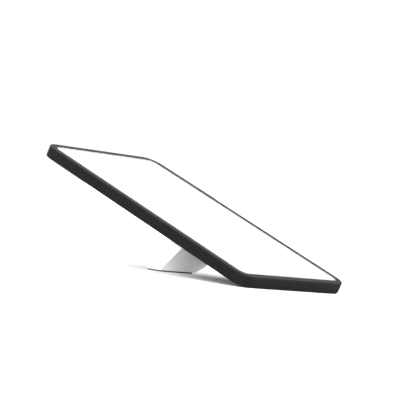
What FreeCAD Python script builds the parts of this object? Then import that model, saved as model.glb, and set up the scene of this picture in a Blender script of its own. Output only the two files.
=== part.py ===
import FreeCAD, Part
import math
import os
import re
import Sketcher

# A tablet-shaped video magnifier that leans back on a fold-out leg.
#
# Row frame: +Z up, the user on the -Y side, origin under the middle of the whole object.
# Slab frame: X across the screen, Y up the slope from the low edge, Z out of the screen,
# with Z = 0 on the back face. Every piece of the slab is drawn in it and tilted as one.
# Leg frame: origin on the hinge axis, the leg hanging along -Z, +Y towards the high edge.

SIZES = {
    # the slab's outer form
    "slab_width": 160,
    "slab_length": 272,
    "slab_thick": 10.6,
    "corner_radius": 15,
    "edge_round": 1.2,
    "rim_round": 0.6,
    # stance
    "stand_tilt": 20.6,
    "stand_lean": 24.4,
    "edge_clear": 0.4,
    # rear housing
    "side_wall": 1.8,
    "floor_thick": 1.4,
    # how far a cut runs past the face that it opens
    "overcut": 1.0,
    # front bezel
    "bezel_width": 6.5,
    "skirt_depth": 2.0,
    "skirt_thick": 1.0,
    "skirt_gap": 0.15,
    "lip_chamfer": 0.2,
    # display stack, from the glass down
    "glass_sink": 0.05,
    "glass_gap": 0.15,
    "glass_thick": 1.0,
    "tape_thick": 0.2,
    "active_inset": 8.0,
    "panel_inset": 5.0,
    "panel_corner": 10,
    "panel_thick": 1.3,
    "guide_thick": 1.8,
    "plate_thick": 0.3,
    "frame_thick": 0.8,
    "bar_depth": 2.0,
    "bar_gap": 0.5,
    "bar_corner": 0.4,
    # screws that hold the housing to the midframe
    "boss_inset_x": 10.5,
    "boss_inset_y": 10,
    "boss_radius": 2.5,
    "boss_clear": 3.5,
    "screw_radius": 1.0,
    "screw_head": 1.9,
    "head_thick": 0.8,
    "thread_gap": 0.05,
    "head_gap": 0.15,
    # batteries
    "cell_width": 62,
    "cell_length": 84,
    "cell_thick": 3.1,
    "cell_corner": 3,
    "cell_round": 0.6,
    "cell_start": 14,
    "cell_spacing": 68,
    "inner_lift": 0.1,
    "lead_width": 6,
    "lead_thick": 0.5,
    "lead_inset": 8,
    # main board
    "board_width": 124,
    "board_thick": 0.8,
    "board_start": 146,
    "board_gap": 26,
    "board_base": 2.2,
    "board_corner": 2,
    "small_board_thick": 0.6,
    # metal shield over the processor
    "shield_width": 40,
    "shield_length": 24,
    "shield_height": 0.75,
    "shield_roof": 0.15,
    "shield_wall": 0.2,
    "shield_corner": 1.2,
    "shield_shift": 13,
    # ribbons to the camera and the display
    "ribbon_thick": 0.15,
    "ribbon_width": 6,
    "ribbon_gap": 0.5,
    "plug_width": 8,
    "plug_length": 4,
    "wrap_place": 26,
    "wrap_width": 10,
    "wrap_gap": 0.12,
    "wrap_thick": 0.18,
    "wrap_side": 0.1,
    "wrap_side_thick": 0.2,
    "wrap_low": 0.5,
    "wrap_high": 0.9,
    # rear camera and reading lamps
    "camera_inset": 36,
    "camera_board": 14,
    "camera_opening": 18,
    "window_radius": 6.5,
    "window_thick": 0.7,
    "aperture_radius": 4.6,
    "barrel_radius": 4.5,
    "barrel_height": 2.1,
    "lens_radius": 3.1,
    "lens_lift": 0.2,
    "lens_thick": 1.4,
    "lens_round": 0.4,
    "lamp_spacing": 36,
    "lamp_radius": 3.6,
    "lamp_flange": 0.8,
    "flange_height": 0.5,
    "led_side": 3.5,
    "led_height": 0.7,
    "lamp_board": 12,
    # speakers
    "speaker_width": 24,
    "speaker_length": 14,
    "speaker_spacing": 108,
    "speaker_height": 1.6,
    "throat_height": 0.5,
    "throat_margin_x": 4,
    "throat_margin_y": 1,
    "slot_margin": 5,
    "slot_width": 1.2,
    "slot_pitch": 2.6,
    # charging socket in the high edge
    "socket_place": 30,
    "socket_width": 8.94,
    "socket_height": 3.16,
    "socket_depth": 7.3,
    "socket_gap": 0.12,
    "socket_sink": 0.3,
    "socket_wall": 0.3,
    "socket_cavity": 6,
    "tongue_width": 6.6,
    "tongue_thick": 0.7,
    "tongue_round": 0.3,
    "tongue_sink": 1.0,
    "tongue_length": 5.2,
    "socket_board_width": 16,
    "socket_board_length": 14,
    "socket_room": 1.5,
    # side buttons in the long edge
    "button_level": 4.5,
    "cap_height": 3.2,
    "button_gap": 0.3,
    "button_travel": 0.45,
    "flange_thick": 0.8,
    "flange_margin": 0.5,
    "scoop_depth": 0.8,
    "scoop_margin": 3.0,
    "scoop_extra": 1.8,
    "zoom_out_inset": 122,
    "zoom_in_inset": 106,
    "mode_inset": 90,
    "freeze_inset": 75,
    "power_inset": 50,
    "zoom_cap": 11,
    "small_cap": 9,
    "flange_seat": 0.1,
    "flange_trim": 0.3,
    "flange_corner": 0.6,
    "cap_sink": 0.05,
    # the buttons' switches
    "key_board_width": 7,
    "key_board_lift": 0.2,
    "key_board_setback": 5.5,
    "key_board_end": 8,
    "switch_gap": 0.05,
    "switch_width": 3,
    "switch_length": 4.5,
    "switch_height": 1.4,
    "plunger_width": 0.5,
    "plunger_length": 2,
    "plunger_height": 0.8,
    "plunger_lift": 0.4,
    # hinge
    "hinge_place": 115,
    "hinge_drop": 8.5,
    "pin_radius": 2.0,
    "pin_fit": 0.05,
    "pin_margin": 4,
    "knuckle_radius": 6.0,
    "knuckle_width": 7.0,
    "knuckle_spacing": 40,
    "knuckle_gap": 0.5,
    "bracket_reach": 23,
    "bracket_thick": 2.0,
    "bracket_hole_near": 12,
    "bracket_hole_far": 19,
    "bore_fit": 0.02,
    "nut_plate_thick": 1.2,
    "nut_plate_margin": 7,
    "nut_plate_length": 18,
    "screw_end_gap": 0.3,
    "washer_thick": 0.36,
    "washer_radius": 4.6,
    # leg
    "foot_width": 57.7,
    "leg_flare": 3.0,
    "barrel_half": 7.25,
    "foot_half": 5.65,
    "leg_reach": 46,
    "near_corner": 2,
    "far_corner": 9,
    "pad_thick": 1.2,
    "stop_gap": 0.05,
    "stop_width": 3,
    "flare_extra": 12,
    "notch_gap": 0.8,
    "bore_end_gap": 0.1,
    "plug_gap": 0.2,
    "plug_end_gap": 0.3,
    "cavity_wall": 2.2,
    "cavity_margin_x": 6,
    "cavity_margin_z": 2,
    "cover_thick": 1.6,
    "cover_gap": 0.15,
    "cover_sink": 0.2,
    "cover_corner": 2,
    "cover_margin": 4,
    "cover_drop": 3.5,
    "cover_rise": 11,
    "cover_screw_inset": 3,
    "cover_screw_length": 4.5,
    "cover_thread_depth": 5,
    "bumper_gap": 0.15,
    "bumper_radius": 3.5,
    "bumper_reach": 32,
    # rubber strips under the low edge
    "strip_width": 18,
    "strip_length": 5,
    "strip_spacing": 90,
    "strip_margin": 0.4,
}

doc = FreeCAD.newDocument("video_magnifier")
sheet = doc.addObject("Spreadsheet::Sheet", "Sizes")
for row, (alias, number) in enumerate(SIZES.items(), start=1):
    sheet.set("A%d" % row, alias)
    sheet.set("B%d" % row, str(number))
    sheet.setAlias("B%d" % row, alias)
doc.recompute()

SUBPARTS = []


# ---------------------------------------------------------------- expressions

def link(text):
    """Point every size named in an expression at its cell in the sheet."""
    return re.sub(r"[a-z_]+", lambda m: "Sizes." + m[0] if m[0] in SIZES else m[0], text)


def value(text):
    """The present number behind an expression."""
    return float(sheet.evalExpression(link(text)))


def bind(item, prop, text):
    item.setExpression(prop, link(text))


# ---------------------------------------------------------------- sketches

def new_sketch(body, plane, height="0"):
    sketch = body.newObject("Sketcher::SketchObject", body.Label + "_sketch")
    support = [f for f in body.Origin.OriginFeatures if f.Role == plane][0]
    sketch.AttachmentSupport = [(support, "")]
    sketch.MapMode = "FlatFace"
    bind(sketch, "AttachmentOffset.Base.z", height)
    return sketch


def drive(sketch, kind, ends, text):
    index = sketch.addConstraint(Sketcher.Constraint(kind, *ends, value(text)))
    bind(sketch, "Constraints[%d]" % index, text)


def pin_point(sketch, geometry, place, across, along):
    """Fix one point of a sketch element at a distance from the sketch's origin."""
    drive(sketch, "DistanceX", (-1, 1, geometry, place), across)
    drive(sketch, "DistanceY", (-1, 1, geometry, place), along)


def draw_round_box(sketch, width, length, radius, across="0", along="0"):
    half_w = value(width) / 2
    half_l = value(length) / 2
    curve = value(radius)
    arcs = []
    for quarter, (side_x, side_y) in enumerate([(1, 1), (-1, 1), (-1, -1), (1, -1)]):
        centre = FreeCAD.Vector(
            value(across) + side_x * (half_w - curve), value(along) + side_y * (half_l - curve), 0
        )
        circle = Part.Circle(centre, FreeCAD.Vector(0, 0, 1), curve)
        start = quarter * math.pi / 2
        arcs.append(sketch.addGeometry(Part.ArcOfCircle(circle, start, start + math.pi / 2)))
    lines = []
    for quarter, arc in enumerate(arcs):
        following = arcs[(quarter + 1) % 4]
        segment = Part.LineSegment(
            sketch.Geometry[arc].EndPoint, sketch.Geometry[following].StartPoint
        )
        lines.append(sketch.addGeometry(segment))
    for quarter, arc in enumerate(arcs):
        following = arcs[(quarter + 1) % 4]
        line = lines[quarter]
        sketch.addConstraint(Sketcher.Constraint("Tangent", arc, 2, line, 1))
        sketch.addConstraint(Sketcher.Constraint("Tangent", line, 2, following, 1))
        heading = "Vertical" if quarter % 2 else "Horizontal"
        sketch.addConstraint(Sketcher.Constraint(heading, line))
        if quarter:
            sketch.addConstraint(Sketcher.Constraint("Equal", arcs[0], arc))
    drive(sketch, "Radius", (arcs[0],), radius)
    drive(sketch, "DistanceX", (lines[1], 1, lines[3], 1), width)
    drive(sketch, "DistanceY", (lines[2], 1, lines[0], 1), length)
    drive(sketch, "DistanceX", (-1, 1, lines[1], 1), "%s - (%s) / 2" % (across, width))
    drive(sketch, "DistanceY", (-1, 1, lines[2], 1), "%s - (%s) / 2" % (along, length))


def draw_polygon(sketch, corners):
    """A closed run of straight lines through corners given as expression pairs."""
    points = [FreeCAD.Vector(value(across), value(along), 0) for across, along in corners]
    first = sketch.GeometryCount
    for index, point in enumerate(points):
        sketch.addGeometry(Part.LineSegment(point, points[(index + 1) % len(points)]))
    for index, (across, along) in enumerate(corners):
        before = first + (index - 1) % len(corners)
        sketch.addConstraint(Sketcher.Constraint("Coincident", before, 2, first + index, 1))
        pin_point(sketch, first + index, 1, across, along)


def draw_box(sketch, width, length, across="0", along="0"):
    left = "%s - (%s) / 2" % (across, width)
    right = "%s + (%s) / 2" % (across, width)
    low = "%s - (%s) / 2" % (along, length)
    high = "%s + (%s) / 2" % (along, length)
    draw_polygon(sketch, [(left, low), (right, low), (right, high), (left, high)])


def draw_circle(sketch, radius, across="0", along="0"):
    centre = FreeCAD.Vector(value(across), value(along), 0)
    circle = Part.Circle(centre, FreeCAD.Vector(0, 0, 1), value(radius))
    index = sketch.addGeometry(circle)
    drive(sketch, "Radius", (index,), radius)
    pin_point(sketch, index, 3, across, along)


# ---------------------------------------------------------------- features

def new_body(label):
    body = doc.addObject("PartDesign::Body", label)
    body.Label = label
    return body


def pad(body, sketch, length):
    """Raise a sketch along its plane's normal."""
    feature = body.newObject("PartDesign::Pad", body.Label + "_pad")
    feature.Profile = sketch
    bind(feature, "Length", length)
    doc.recompute()
    return feature


def pocket(body, sketch, depth):
    """Cut a sketch against its plane's normal, and prove that something was removed."""
    before = body.Tip.Shape.Volume
    feature = body.newObject("PartDesign::Pocket", body.Label + "_pocket")
    feature.Profile = sketch
    bind(feature, "Length", depth)
    doc.recompute()
    if feature.Shape.isNull() or not feature.Shape.Volume < before:
        raise RuntimeError("a pocket in %s removed nothing" % body.Label)
    return feature


def dress(body, kind, size_name, wanted, size_prop):
    """Fillet or chamfer the edges of the body's tip that a test picks."""
    base = body.Tip
    names = ["Edge%d" % (n + 1) for n, edge in enumerate(base.Shape.Edges) if wanted(edge)]
    if not names:
        raise RuntimeError("no edge to dress on %s" % body.Label)
    feature = body.newObject("PartDesign::" + kind, body.Label + "_" + kind.lower())
    feature.Base = (base, names)
    bind(feature, size_prop, size_name)
    doc.recompute()
    return feature


def round_edges(body, size_name, wanted):
    return dress(body, "Fillet", size_name, wanted, "Radius")


def level_edge(height):
    """A test for the edges that lie flat at one height of the body's own frame."""
    def wanted(edge):
        box = edge.BoundBox
        return abs(box.ZMin - height) < 1e-4 and abs(box.ZMax - height) < 1e-4
    return wanted


def rim_edge(outer):
    """A test for the edges of the bezel's top face: its outer outline, or its opening."""
    flat = level_edge(value("slab_thick"))

    def wanted(edge):
        reach_x = max(abs(vertex.X) for vertex in edge.Vertexes)
        reach_y = max(abs(vertex.Y - value(MID_Y)) for vertex in edge.Vertexes)
        on_side = reach_x > value("slab_width / 2") - 1e-4
        on_end = reach_y > value(MID_Y) - 1e-4
        return flat(edge) and (on_side or on_end) == outer
    return wanted


# ---------------------------------------------------------------- placing

TILT_SIN = "sin(stand_tilt * 1deg)"
TILT_COS = "cos(stand_tilt * 1deg)"
# The rounded low back edge is the slab's lowest point; it stands clear of the table.
SLAB_Z = "(edge_clear - edge_round * (%s + %s - 1))" % (TILT_SIN, TILT_COS)
FRONT_Y = "(rim_round * %s - (slab_thick - rim_round) * %s - rim_round)" % (TILT_COS, TILT_SIN)
BACK_Y = "((slab_length - edge_round) * %s - edge_round * %s + edge_round)" % (
    TILT_COS, TILT_SIN)
SLAB_Y = "(-(%s + %s) / 2)" % (FRONT_Y, BACK_Y)
HINGE_Y = "(%s + hinge_place * %s + hinge_drop * %s)" % (SLAB_Y, TILT_COS, TILT_SIN)
HINGE_Z = "(%s + hinge_place * %s - hinge_drop * %s)" % (SLAB_Z, TILT_SIN, TILT_COS)
LEG_ANGLE = "(stand_tilt + stand_lean)"


def place(item, along, height, angle):
    """Turn a sub-part about X, set it down in the row frame and list it for writing."""
    turn = FreeCAD.Rotation(FreeCAD.Vector(1, 0, 0), value(angle))
    item.Placement = FreeCAD.Placement(FreeCAD.Vector(0, 0, 0), turn)
    bind(item, "Placement.Base.y", along)
    bind(item, "Placement.Base.z", height)
    bind(item, "Placement.Rotation.Angle", angle)
    SUBPARTS.append(item)


def on_slab(item):
    place(item, SLAB_Y, SLAB_Z, "stand_tilt")


def on_leg(item):
    place(item, HINGE_Y, HINGE_Z, LEG_ANGLE)


# ---------------------------------------------------------------- simple solids

def brick(name, size, across, along, base):
    """A block with its middle at (across, along) and its underside at base."""
    width, length, height = size
    item = doc.addObject("Part::Box", name)
    bind(item, "Length", width)
    bind(item, "Width", length)
    bind(item, "Height", height)
    bind(item, "Placement.Base.x", "%s - (%s) / 2" % (across, width))
    bind(item, "Placement.Base.y", "%s - (%s) / 2" % (along, length))
    bind(item, "Placement.Base.z", base)
    return item


def disc(name, radius, height, across, along, base):
    item = doc.addObject("Part::Cylinder", name)
    bind(item, "Radius", radius)
    bind(item, "Height", height)
    bind(item, "Placement.Base.x", across)
    bind(item, "Placement.Base.y", along)
    bind(item, "Placement.Base.z", base)
    return item


def cross_disc(name, radius, height, start, along, level):
    """A cylinder lying along X from start."""
    item = disc(name, radius, height, start, along, level)
    turn = FreeCAD.Rotation(FreeCAD.Vector(0, 1, 0), 90)
    item.Placement = FreeCAD.Placement(item.Placement.Base, turn)
    return item


def fuse(name, items):
    item = doc.addObject("Part::MultiFuse", name)
    item.Shapes = items
    return item


def cut(name, base, tool):
    item = doc.addObject("Part::Cut", name)
    item.Base = base
    item.Tool = tool
    return item


def group(label, items):
    """Separate solids that share one node."""
    item = doc.addObject("Part::Compound", label)
    item.Label = label
    item.Links = items
    return item


def plate(label, width, length, radius, along, base, thick):
    """A flat piece of the slab with rounded corners."""
    body = new_body(label)
    sketch = new_sketch(body, "XY_Plane", base)
    draw_round_box(sketch, width, length, radius, "0", along)
    pad(body, sketch, thick)
    on_slab(body)
    return body


def screw(name, radius, head, head_thick, length, across, along, base):
    """A pan-head screw that points along +Z, with a hexagon socket; base is under its head."""
    top = disc(name + "_head", head, head_thick, across, along, base)
    shank = disc(name + "_shank", radius, length, across, along, "%s + %s" % (base, head_thick))
    socket = doc.addObject("Part::Prism", name + "_socket")
    socket.Polygon = 6
    bind(socket, "Circumradius", "%s / 2" % head)
    bind(socket, "Height", "%s / 2" % head_thick)
    bind(socket, "Placement.Base.x", across)
    bind(socket, "Placement.Base.y", along)
    bind(socket, "Placement.Base.z", base)
    return cut(name, fuse(name + "_blank", [top, shank]), socket)


# ---------------------------------------------------------------- levels and outlines

MID_Y = "slab_length / 2"
# The glass lies flush in the bezel, and the tape holds both from below.
RIM_BASE = "(slab_thick - glass_sink - glass_thick)"
TAPE_BASE = "(%s - tape_thick)" % RIM_BASE
PANEL_BASE = "(%s - panel_thick)" % TAPE_BASE
GUIDE_BASE = "(%s - guide_thick)" % PANEL_BASE
PLATE_BASE = "(%s - plate_thick)" % GUIDE_BASE
FRAME_BASE = "(%s - frame_thick)" % PLATE_BASE
INNER_BASE = "(floor_thick + inner_lift)"

HALF_W = "(slab_width / 2)"
TUB_INSET = "side_wall"
SKIRT_OUT = "(side_wall + skirt_gap)"
SKIRT_IN = "(%s + skirt_thick)" % SKIRT_OUT
GLASS_INSET = "(bezel_width + glass_gap)"
# Camera, board and buttons keep their distance from the high edge.
CAMERA_PLACE = "(slab_length - camera_inset)"
BOARD_LENGTH = "(%s - board_gap - board_start)" % CAMERA_PLACE


def inset_box(sketch, inset, radius=None):
    """The slab's outline drawn a distance further in, with concentric corners."""
    curve = radius or "corner_radius - %s" % inset
    draw_round_box(
        sketch, "slab_width - 2 * %s" % inset, "slab_length - 2 * %s" % inset, curve, "0", MID_Y
    )


BUTTONS = {
    "zoom_out_button": ("(slab_length - zoom_out_inset)", "zoom_cap"),
    "zoom_in_button": ("(slab_length - zoom_in_inset)", "zoom_cap"),
    "mode_button": ("(slab_length - mode_inset)", "small_cap"),
    "freeze_button": ("(slab_length - freeze_inset)", "small_cap"),
    "power_button": ("(slab_length - power_inset)", "small_cap"),
}
FIRST_KEY = BUTTONS["zoom_out_button"][0]
LAST_KEY = BUTTONS["power_button"][0]
SCOOPS = [(FIRST_KEY, BUTTONS["freeze_button"][0]), (LAST_KEY, LAST_KEY)]
# The middle screw bosses stand clear of the key board's low end.
MID_BOSS = "(%s - key_board_end - boss_radius - boss_clear)" % FIRST_KEY
BOSSES = [
    ("%s(%s - boss_inset_x)" % (side, HALF_W), along)
    for side in ("", "-")
    for along in ("boss_inset_y", MID_BOSS, "(slab_length - boss_inset_y)")
]
KNUCKLES = {"left": "-knuckle_spacing / 2", "right": "knuckle_spacing / 2"}
BRACKET_HOLES = ["hinge_place + bracket_hole_near", "hinge_place + bracket_hole_far"]


# ---------------------------------------------------------------- rear housing

housing = new_body("rear_housing")
shell = new_sketch(housing, "XY_Plane")
inset_box(shell, "0")
pad(housing, shell, RIM_BASE)
round_edges(housing, "edge_round", level_edge(0))

hollow = new_sketch(housing, "XY_Plane", RIM_BASE)
inset_box(hollow, TUB_INSET)
pocket(housing, hollow, "%s - floor_thick" % RIM_BASE)

# Holes through the back: camera and lamp windows, speaker slots, screws.
SLOT_ROUND = "(%s) * 0.45"
windows = new_sketch(housing, "XY_Plane", "floor_thick")
draw_circle(windows, "aperture_radius", "0", CAMERA_PLACE)
for side in ("-", ""):
    draw_circle(windows, "lamp_radius", side + "lamp_spacing / 2", CAMERA_PLACE)
    for slot in (-2, -1, 0, 1, 2):
        draw_round_box(
            windows, "speaker_width - 2 * slot_margin", "slot_width", SLOT_ROUND % "slot_width",
            side + "speaker_spacing / 2", "%s + %d * slot_pitch" % (CAMERA_PLACE, slot)
        )
for across, along in BOSSES:
    draw_circle(windows, "screw_radius + head_gap", across, along)
for across in KNUCKLES.values():
    for along in BRACKET_HOLES:
        draw_circle(windows, "screw_radius + head_gap", across, along)
pocket(housing, windows, "floor_thick + overcut")

# Counterbores for the six case screws, and the seat of the camera window.
SEAT_DEPTH = "(head_thick + head_gap)"
seats = new_sketch(housing, "XY_Plane", SEAT_DEPTH)
for across, along in BOSSES:
    draw_circle(seats, "screw_head + head_gap", across, along)
pocket(housing, seats, SEAT_DEPTH + " + overcut")
window_seat = new_sketch(housing, "XY_Plane", "window_thick")
draw_circle(window_seat, "window_radius + head_gap", "0", CAMERA_PLACE)
pocket(housing, window_seat, "window_thick + overcut")

# Finger scoops and button slots in the long edge on +X.
scoops = new_sketch(housing, "YZ_Plane", HALF_W + " + overcut")
for first, last in SCOOPS:
    draw_round_box(
        scoops,
        "%s - %s + small_cap + 2 * scoop_margin" % (last, first),
        "cap_height + scoop_extra",
        "cap_height / 2",
        "(%s + %s) / 2" % (first, last),
        "button_level",
    )
pocket(housing, scoops, "scoop_depth + overcut")
slots = new_sketch(housing, "YZ_Plane", HALF_W + " + overcut")
for along, cap in BUTTONS.values():
    draw_round_box(
        slots, cap + " + 2 * button_gap", "cap_height + 2 * button_gap",
        SLOT_ROUND % "cap_height" + " + button_gap", along, "button_level"
    )
pocket(housing, slots, "side_wall + 2 * overcut")

# The charging socket's mouth in the high edge.
SOCKET_LEVEL = "(floor_thick + inner_lift + socket_height / 2)"
mouth = new_sketch(housing, "XZ_Plane", "-(slab_length - side_wall - overcut)")
draw_round_box(
    mouth, "socket_width + 2 * socket_gap", "socket_height + 2 * socket_gap",
    SLOT_ROUND % "socket_height", "-socket_place", SOCKET_LEVEL
)
pocket(housing, mouth, "side_wall + 2 * overcut")
on_slab(housing)

# ---------------------------------------------------------------- front bezel

bezel = new_body("front_bezel")
rim = new_sketch(bezel, "XY_Plane", RIM_BASE)
inset_box(rim, "0")
inset_box(rim, "bezel_width")
pad(bezel, rim, "slab_thick - " + RIM_BASE)
round_edges(bezel, "rim_round", rim_edge(True))
dress(bezel, "Chamfer", "lip_chamfer", rim_edge(False), "Size")
skirt = new_sketch(bezel, "XY_Plane", RIM_BASE + " - skirt_depth")
inset_box(skirt, SKIRT_OUT)
inset_box(skirt, SKIRT_IN)
pad(bezel, skirt, "skirt_depth")
on_slab(bezel)

# ---------------------------------------------------------------- display stack

glass = new_body("cover_glass")
sheet_outline = new_sketch(glass, "XY_Plane", RIM_BASE)
inset_box(sheet_outline, GLASS_INSET)
pad(glass, sheet_outline, "glass_thick")
on_slab(glass)

tape = new_body("light_seal_tape")
seal = new_sketch(tape, "XY_Plane", TAPE_BASE)
inset_box(seal, "panel_inset", "panel_corner")
inset_box(seal, "active_inset")
pad(tape, seal, "tape_thick")
on_slab(tape)

STACK_W = "slab_width - 2 * panel_inset"
STACK_L = "slab_length - 2 * panel_inset"
plate("lcd_panel", STACK_W, STACK_L, "panel_corner", MID_Y, PANEL_BASE, "panel_thick")
GUIDE_CUT = "(bar_depth + 2 * bar_gap)"
plate(
    "light_guide", STACK_W, "%s - %s" % (STACK_L, GUIDE_CUT), "panel_corner",
    MID_Y + " + %s / 2" % GUIDE_CUT, GUIDE_BASE, "guide_thick"
)
plate(
    "led_bar", "%s - 2 * panel_corner" % STACK_W, "bar_depth", "bar_corner",
    "panel_inset + bar_gap + bar_depth / 2", GUIDE_BASE, "guide_thick"
)
plate("backlight_plate", STACK_W, STACK_L, "panel_corner", MID_Y, PLATE_BASE, "plate_thick")

# ---------------------------------------------------------------- midframe

midframe = new_body("midframe")
web = new_sketch(midframe, "XY_Plane", FRAME_BASE)
inset_box(web, "panel_inset", "panel_corner")
pad(midframe, web, "frame_thick")
posts = new_sketch(midframe, "XY_Plane", "floor_thick")
for across, along in BOSSES:
    draw_circle(posts, "boss_radius", across, along)
pad(midframe, posts, "%s - floor_thick" % FRAME_BASE)
threads = new_sketch(midframe, "XY_Plane", FRAME_BASE)
for across, along in BOSSES:
    draw_circle(threads, "screw_radius + thread_gap", across, along)
pocket(midframe, threads, "%s - floor_thick + overcut" % FRAME_BASE)
openings = new_sketch(midframe, "XY_Plane", PLATE_BASE)
draw_round_box(
    openings, "camera_opening", "camera_opening", "board_corner", "0", CAMERA_PLACE
)
draw_box(
    openings, "socket_width + 2 * socket_room", "2 * socket_depth", "-socket_place",
    "slab_length - panel_inset"
)
pocket(midframe, openings, "frame_thick + overcut")
on_slab(midframe)

# ---------------------------------------------------------------- batteries and boards

for side, sign in (("left", "-"), ("right", "")):
    cell = new_body("battery_" + side)
    pouch = new_sketch(cell, "XY_Plane", INNER_BASE)
    draw_round_box(
        pouch, "cell_width", "cell_length", "cell_corner", sign + "cell_spacing / 2",
        "cell_start + cell_length / 2"
    )
    pad(cell, pouch, "cell_thick")
    round_edges(cell, "cell_round", level_edge(value(INNER_BASE)))
    on_slab(cell)

CELL_END = "(cell_start + cell_length)"
lead = brick(
    "battery_lead_strip", ("lead_width", "board_start - " + CELL_END, "lead_thick"),
    "-board_width / 2 + lead_inset", "(board_start + %s) / 2" % CELL_END, "board_base"
)
on_slab(group("battery_lead", [lead]))

BOARD_MID = "(board_start + %s / 2)" % BOARD_LENGTH
BOARD_END = "(board_start + %s)" % BOARD_LENGTH
plate(
    "main_board", "board_width", BOARD_LENGTH, "board_corner", BOARD_MID, "board_base",
    "board_thick"
)
BOARD_TOP = "(board_base + board_thick)"
# Each chip: its name, its width, length and height, and its middle on the board.
CHIPS = [
    ("processor", ("14", "14", "0.5"), "-22", BOARD_MID),
    ("memory", ("9", "12", "0.45"), "-4", BOARD_MID),
    ("storage", ("11", "13", "0.5"), "18", BOARD_END + " - 18"),
    ("power_chip", ("6", "6", "0.45"), "34", "board_start + 16"),
    ("charger_chip", ("5", "5", "0.45"), "-48", "board_start + 14"),
    ("audio_chip", ("5", "4", "0.45"), "50", BOARD_END + " - 16"),
    ("coil_one", ("4", "4", "0.55"), "42", BOARD_MID + " - 6"),
    ("coil_two", ("4", "4", "0.55"), "48", BOARD_MID + " - 6"),
]
chips = [brick(name, size, across, along, BOARD_TOP) for name, size, across, along in CHIPS]
on_slab(group("board_chips", chips))

can = new_body("processor_shield")
can_outline = new_sketch(can, "XY_Plane", BOARD_TOP)
draw_round_box(
    can_outline, "shield_width", "shield_length", "shield_corner", "-shield_shift", BOARD_MID
)
pad(can, can_outline, "shield_height")
SHIELD_ROOM = "(shield_height - shield_roof)"
can_hollow = new_sketch(can, "XY_Plane", "%s + %s" % (BOARD_TOP, SHIELD_ROOM))
draw_round_box(
    can_hollow, "shield_width - 2 * shield_wall", "shield_length - 2 * shield_wall",
    "shield_corner - shield_wall", "-shield_shift", BOARD_MID
)
pocket(can, can_hollow, SHIELD_ROOM)
on_slab(can)

# ---------------------------------------------------------------- camera

CAMERA_BOARD_BASE = "(%s + barrel_height)" % INNER_BASE
camera_board = brick(
    "camera_board_slab", ("camera_board", "camera_board", "small_board_thick"), "0",
    CAMERA_PLACE, CAMERA_BOARD_BASE
)
on_slab(group("camera_board", [camera_board]))

barrel = new_body("camera_barrel")
tube = new_sketch(barrel, "XY_Plane", INNER_BASE)
draw_circle(tube, "barrel_radius", "0", CAMERA_PLACE)
draw_circle(tube, "lens_radius + thread_gap", "0", CAMERA_PLACE)
pad(barrel, tube, "barrel_height")
on_slab(barrel)

lens = new_body("camera_lens")
LENS_BASE = INNER_BASE + " + lens_lift"
pupil = new_sketch(lens, "XY_Plane", LENS_BASE)
draw_circle(pupil, "lens_radius", "0", CAMERA_PLACE)
pad(lens, pupil, "lens_thick")
round_edges(lens, "lens_round", level_edge(value(LENS_BASE)))
on_slab(lens)

window = new_body("camera_window")
pane = new_sketch(window, "XY_Plane", "0")
draw_circle(pane, "window_radius", "0", CAMERA_PLACE)
pad(window, pane, "window_thick")
on_slab(window)

CONNECTOR_TOP = "(%s - ribbon_thick)" % CAMERA_BOARD_BASE
FLEX_START = "(%s - ribbon_width)" % BOARD_END
FLEX_END = "(%s - barrel_radius - ribbon_gap)" % CAMERA_PLACE
ribbon = brick(
    "camera_ribbon", ("ribbon_width", "%s - %s" % (FLEX_END, FLEX_START), "ribbon_thick"), "0",
    "(%s + %s) / 2" % (FLEX_END, FLEX_START), CONNECTOR_TOP
)
plug = brick(
    "camera_plug", ("plug_width", "plug_length", "%s - %s" % (CONNECTOR_TOP, BOARD_TOP)), "0",
    FLEX_START + " + plug_length / 2", BOARD_TOP
)
camera_flex = fuse("camera_flex", [ribbon, plug])
camera_flex.Label = "camera_flex"
on_slab(camera_flex)

# ---------------------------------------------------------------- display ribbon

STACK_END = "(slab_length - panel_inset)"
display_flex = new_body("display_flex")
wrap = new_sketch(display_flex, "YZ_Plane", "wrap_place")
WRAP_TOP = FRAME_BASE + " - wrap_gap"
WRAP_BASE = WRAP_TOP + " - wrap_thick"
WRAP_NEAR = STACK_END + " + wrap_side"
WRAP_FAR = WRAP_NEAR + " + wrap_side_thick"
draw_polygon(wrap, [
    (FLEX_START, BOARD_TOP),
    (FLEX_START + " + plug_length", BOARD_TOP),
    (FLEX_START + " + plug_length", WRAP_BASE),
    (WRAP_FAR, WRAP_BASE),
    (WRAP_FAR, PANEL_BASE + " + wrap_high"),
    (STACK_END, PANEL_BASE + " + wrap_high"),
    (STACK_END, PANEL_BASE + " + wrap_low"),
    (WRAP_NEAR, PANEL_BASE + " + wrap_low"),
    (WRAP_NEAR, WRAP_TOP),
    (FLEX_START, WRAP_TOP),
])
pad(display_flex, wrap, "wrap_width")
on_slab(display_flex)

# ---------------------------------------------------------------- reading lamps

LAMP_TOP = "(floor_thick + flange_height)"
lamp_windows = []
lamp_leds = []
lamp_boards = []
for side, sign in (("left", "-"), ("right", "")):
    spot = sign + "lamp_spacing / 2"
    face = disc("lamp_face_" + side, "lamp_radius - head_gap", "floor_thick", spot,
                CAMERA_PLACE, "0")
    flange = disc("lamp_flange_" + side, "lamp_radius + lamp_flange", "flange_height", spot,
                  CAMERA_PLACE, "floor_thick")
    lamp_windows.append(fuse("lamp_window_" + side, [face, flange]))
    lamp_leds.append(brick("lamp_led_" + side, ("led_side", "led_side", "led_height"), spot,
                           CAMERA_PLACE, LAMP_TOP))
    lamp_boards.append(brick("lamp_board_" + side,
                             ("lamp_board", "lamp_board", "small_board_thick"), spot,
                             CAMERA_PLACE, LAMP_TOP + " + led_height"))
on_slab(group("lamp_windows", lamp_windows))
on_slab(group("lamp_leds", lamp_leds))
on_slab(group("lamp_boards", lamp_boards))

# ---------------------------------------------------------------- speakers

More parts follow.
